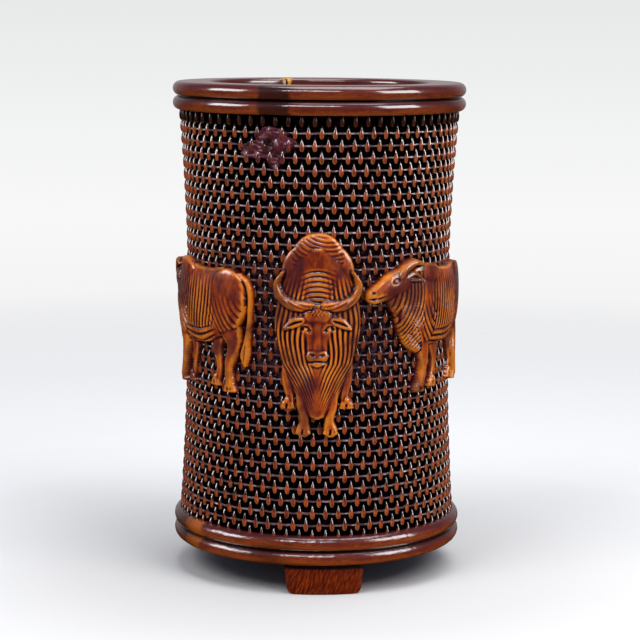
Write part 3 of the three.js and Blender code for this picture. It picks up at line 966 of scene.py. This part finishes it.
def profile_legs(u, v, height):
    """The two legs on the near side, and the four hooves."""
    near_fore = limb(u, v, [(-8.2, -4, 3.4), (-7.0, -10, 2.3), (-7.4, -15, 1.5), (-8.6, -19.6, 1.5)])
    near_hind = limb(u, v, [(16.5, -1, 4.4), (18.8, -7, 2.5), (17.2, -13, 1.5), (17.6, -19.4, 1.5)])
    for form in (near_fore, near_hind):
        height = laid_on(height, form, 0.7, 1.6)
    for toe in ((-8.9, -21.0), (17.4, -20.8)):
        height = cloven(u, v, height, toe, 1.0)
    for toe in ((-2.0, -20.2), (11.4, -19.6)):
        height = cloven(u, v, height, toe, 0.4)
    return height


def profile_neck(u, v, height, nod, loose):
    """The neck and the dewlap, which follow the head's nod, with their folds."""
    neck = limb(u, v, [(-8.5, 6.5, 8.2), (-13, 7 + 0.4 * nod, 7.4), (-17, 9 + nod, 5.2)])
    height = laid_on(height, neck, 1.4, 1.6)
    dewlap = limb(u, v, [(-17, 5 + nod, 1.8), (-15.5, 0.5 * nod, 2.6), (-12.5, -5, 2.8), (-10, -8, 1.6)])
    height = laid_on(height, dewlap, 0.9, 1.2)
    creases = folds((u - 0.5 * (v - nod) + 0.03 * (v - 2) ** 2) / 1.5 + loose)
    return height - 0.75 * creases * (np.maximum(neck, dewlap) > 0.1) * between(-u, 8, 10)


def profile_head(u, v, height):
    """The horn, the head, the ear, the eye in its socket, the nostril and the mouth."""
    horn = limb(u, v, [(-17.4, 12.2, 1.5), (-15.2, 14.8, 1.35), (-12.0, 16.2, 0.95), (-9.0, 15.4, 0.45)])
    height = laid_on(height, horn, 2.2, 1.3)
    head = limb(u, v, [(-16.8, 10.6, 4.0), (-20.2, 9.6, 3.5), (-24.0, 7.6, 2.7), (-25.6, 6.9, 2.4)])
    height = laid_on(height, head, 1.8, 1.6)
    ear = limb(u, v, [(-15.2, 11.6, 1.0), (-12.6, 12.0, 1.6), (-9.8, 10.9, 0.5)])
    height = laid_on(height, ear, 2.7, 0.6)
    height -= 0.6 * limb(u, v, [(-14.4, 11.6, 0.3), (-12.4, 11.8, 0.6), (-10.8, 11.2, 0.2)])
    height -= 0.6 * dome(u, v, (-19.2, 11.0), (1.3, 0.9), 20)
    height += 0.6 * dome(u, v, (-19.2, 11.0), (0.75, 0.6))
    height -= 0.6 * dome(u, v, (-26.2, 7.9), (0.6, 0.5))
    return height - 0.6 * limb(u, v, [(-27.2, 6.0, 0.3), (-24.6, 6.2, 0.35), (-22.8, 6.9, 0.2)])


def profile_ox(u, v, nod):
    """An ox in profile, facing left, with its head raised by a number of millimetres."""
    loose = 0.25 * wander(0.5 * u, 0.25 * v)
    height = profile_rear(u, v, np.full(u.shape, CARVING_EDGE))
    height = profile_trunk(u, v, height, loose)
    height = profile_quarters(u, v, height, loose)
    height = profile_legs(u, v, height)
    height = profile_neck(u, v, height, nod, loose)
    return profile_head(u, v - nod, height)


# Carving.


def lacquer_run(u, v):
    """A run of lacquer with a ragged outline, which sinks between the pods and climbs up their sides."""
    forms = np.maximum(dome(u, v, (0, 0), (9.6, 2.9), 8), dome(u, v, (1.2, 3.4), (5.0, 2.8)))
    forms = np.maximum(forms, dome(u, v, (1.9, -3.2), (2.3, 3.2)))
    broad = np.vectorize(lambda x, y: noise.noise((0.35 * x, 0.5 * y, 2.0)))(u, v)
    fine = np.vectorize(lambda x, y: noise.noise((0.9 * x + 0.5 * y, 1.3 * y, 5.0)))(u, v)
    ragged = np.where(forms > 0, forms - 0.3 + 0.5 * broad + 0.35 * fine, -1)
    angle = u / WAIST_RADIUS + math.radians(FILL_AZIMUTH) - POD_TURN
    row = (RIM_BOTTOM - FILL_HEIGHT - v) / ROW_PITCH - POD_MIDDLE
    climbs = -np.cos(PODS_AROUND * angle) * np.cos(math.pi * row)
    return np.where(ragged > 0, -FILL_DEPTH + 0.3 * climbs + 0.25 * broad + 0.35 * fine, CARVING_EDGE)


def carved_figure(relief, halves, azimuth, middle, mirror=1, *pose):
    """A figure carved from a relief function, wrapped onto the wall at an azimuth in degrees and a height."""
    half_width, half_height = halves
    columns = round(2 * half_width / CARVING_GRID)
    rows = round(2 * half_height / CARVING_GRID)
    across, up = np.meshgrid(
        np.linspace(-half_width, half_width, columns + 1), np.linspace(-half_height, half_height, rows + 1)
    )
    height = relief(mirror * across, up, *pose)
    raised = np.maximum(height, 0.0)
    reach = round(SHADE_REACH / CARVING_GRID)
    steps = [(x, y) for x in (-reach, 0, reach) for y in (-reach, 0, reach)]
    around = sum(np.roll(raised, step, (0, 1)) for step in steps) / len(steps)
    # The hollow level is painted shade and light: dark in folds and round the outline, bright on crests.
    level = np.clip(LEVEL_HOLLOW + 1.9 * (raised - around), 0, 1)
    hollow = np.where(height < 0.05, EDGE_HOLLOW, level)

    def spot(vert):
        return (
            round((vert.co.y + half_height) / (2 * half_height) * rows),
            round((vert.co.x + half_width) / (2 * half_width) * columns),
        )

    shape = bmesh.new()
    bmesh.ops.create_grid(shape, x_segments=columns, y_segments=rows, size=1.0)
    bmesh.ops.scale(shape, vec=(half_width, half_height, 1), verts=shape.verts)
    outside = [face for face in shape.faces if all(height[spot(vert)] <= CARVING_EDGE for vert in face.verts)]
    bmesh.ops.delete(shape, geom=outside, context="FACES")
    layer = shape.verts.layers.float.new("hollow")
    for vert in shape.verts:
        vert.co.z = CARVING_BACK
        vert[layer] = EDGE_HOLLOW
    front = bmesh.ops.extrude_face_region(shape, geom=shape.faces[:], use_keep_orig=True)["geom"]
    for vert in verts_in(front):
        vert.co.z = height[spot(vert)]
        vert[layer] = hollow[spot(vert)]
    for vert in shape.verts:
        radius = float(crest_radius(middle + vert.co.y)) + vert.co.z
        angle = vert.co.x / WAIST_RADIUS + math.radians(azimuth)
        vert.co = (radius * math.sin(angle), -radius * math.cos(angle), middle + vert.co.y)
    bmesh.ops.recalc_face_normals(shape, faces=shape.faces)
    return shape


# The pot.

finished("turned_mouth_ring", mouth_ring(), MOUTH_BAMBOO, ["mouth_ring"])
finished("turned_base_ring", base_ring(), BASE_BAMBOO, ["base_ring"])
finished("woven_pods", weave_pods(), POD_BAMBOO, ["wall_tube"])
finished("woven_wefts", weave_wefts(), WEFT_BAMBOO, smooth=False)
finished("woven_ground", waisted_tube(BORE_RADIUS + BORE_LINING, GROUND_DEPTH), GROUND_BAMBOO)
finished("bore_wall", bore_wall(), BORE_BAMBOO)
lacquer = carved_figure(lacquer_run, FILL_HALVES, FILL_AZIMUTH, FILL_HEIGHT)
finished("lacquer_fill", lacquer, LACQUER)

ox_front = carved_figure(facing_ox, FACING_HALVES, 0, FRONT_OX_HEIGHT)
finished("carved_ox_front", ox_front, OX_BAMBOO, ["ox_front"])
for node, (azimuth, nod, mirror) in SIDE_OXEN.items():
    ox = carved_figure(profile_ox, PROFILE_HALVES, azimuth, SIDE_OX_HEIGHT, mirror, nod)
    finished("carved_" + node, ox, OX_BAMBOO, [node])

for node in ("foot_front", "foot_rear_right", "foot_rear_left"):
    finished("eased_" + node, eased_foot(node), FOOT_BAMBOO, [node])
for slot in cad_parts["floor_board"].material_slots:
    slot.material = FLOOR_BAMBOO


# Studio.


def pale_paper():
    """Matt background paper that fades out away from the pot, painted darker near it as shade against the
    lamps' pool of light.
    """
    material, tree, shader, place = new_material("pale_paper", 0.9)
    away = add_node(tree, "VectorMath", {"Vector": place}, operation="LENGTH")
    paper = add_node(tree, "ValToRGB", {"Fac": away.outputs["Value"]}, [(0.08, "#cccac8"), (0.15, "#d7d5d3")])
    wire(shader, {"Base Color": paper})
    solid = add_node(tree, "MapRange", {0: away.outputs["Value"], 1: 0.2, 2: 0.65, 3: 1.0, 4: 0.0})
    clear = add_node(tree, "BsdfTransparent")
    mixed = add_node(tree, "MixShader", {0: solid, 1: clear, 2: shader.outputs["BSDF"]})
    wire(tree.nodes["Material Output"], {"Surface": mixed})
    return material


def soft_box(name, place, width, height, power, lights=True, shines=True):
    """A soft box that points at the pot: it may light it, be mirrored in its wax, or both."""
    lamp = bpy.data.lights.new(name, "AREA")
    lamp.shape = "RECTANGLE"
    lamp.size = width
    lamp.size_y = height
    lamp.energy = power
    light = shown(name, lamp)
    light.visible_diffuse = lights
    light.visible_glossy = shines
    light.location = place
    light.rotation_euler = (Vector((0, 0, 0.08)) - Vector(place)).to_track_quat("-Z", "Y").to_euler()


def room():
    """The world: dim and cool for soft light, with pale paper behind the pot for the camera and for gloss."""
    world = bpy.data.worlds.new("studio")
    bpy.context.scene.world = world
    world.use_nodes = True
    tree = world.node_tree
    soft = tree.nodes["Background"]
    wire(soft, {"Color": colour("#bcd0f0"), "Strength": 0.38})
    towards = add_node(tree, "TexCoord").outputs["Generated"]
    split = add_node(tree, "SeparateXYZ", {"Vector": towards})
    behind = add_node(tree, "MapRange", {0: split.outputs["Y"], 1: 0.6, 2: 0.97, 3: 0.09, 4: 0.45})
    raised = add_node(tree, "MapRange", {0: split.outputs["Z"], 1: -0.3, 2: 0.02})
    bright = add_node(tree, "Math", {0: behind, 1: raised}, operation="MULTIPLY")
    gloss = add_node(tree, "Background", {"Color": colour("#f2e8ea"), "Strength": bright})
    drop = add_node(tree, "MapRange", {0: split.outputs["Z"], 1: -0.28, 2: 0.02})
    low = [(0.05, "#f1f1f2"), (0.2, "#e8e9ea"), (0.38, "#f1f1f2")]
    high = [(0.62, "#f8f8f8"), (0.78, "#f1f2f2"), (0.95, "#e8e9e9")]
    paper = add_node(tree, "ValToRGB", {"Fac": drop}, low + high)
    seen = add_node(tree, "Background", {"Color": paper, "Strength": 1.0})
    ray = add_node(tree, "LightPath")
    glossy = add_node(tree, "MixShader", {0: ray.outputs["Is Glossy Ray"], 1: soft, 2: gloss})
    mixed = add_node(tree, "MixShader", {0: ray.outputs["Is Camera Ray"], 1: glossy, 2: seen})
    wire(tree.nodes["World Output"], {"Surface": mixed})


def studio():
    """A pale floor under a soft box overhead, a key on each side, and boxes that only the wax mirrors."""
    shape = bmesh.new()
    bmesh.ops.create_grid(shape, x_segments=1, y_segments=1, size=1.0)
    floor = meshed("floor_paper", shape, pale_paper())
    floor.visible_glossy = False
    soft_box("overhead_box", (0.12, 0.02, 0.95), 0.7, 0.7, 7.5)
    soft_box("left_key", (-0.66, -0.64, 1.05), 0.7, 0.7, 9.2, shines=False)
    soft_box("right_key", (0.66, -0.64, 1.05), 0.7, 0.7, 9.8, shines=False)
    soft_box("left_gleam", (-1.02, -0.2, 0.55), 0.65, 0.45, 10.5, lights=False)
    soft_box("right_gleam", (0.95, -0.42, 0.5), 0.65, 0.6, 14.0, lights=False)
    soft_box("front_strip", (-0.1, -0.8, 0.75), 0.7, 0.12, 5.0, lights=False)


def camera():
    """The camera of the photograph."""
    lens = bpy.data.cameras.new("camera")
    lens.angle = math.radians(CAMERA_FIELD)
    view = shown("camera", lens)
    view.matrix_world = (
        Matrix.Translation(Vector(CAMERA_PLACE) * MM)
        @ Matrix.Rotation(math.radians(90 - CAMERA_PITCH), 4, "X")
        @ Matrix.Rotation(math.radians(CAMERA_ROLL), 4, "Z")
    )
    bpy.context.scene.camera = view


room()
studio()
camera()
bpy.context.scene.view_settings.view_transform = "Standard"
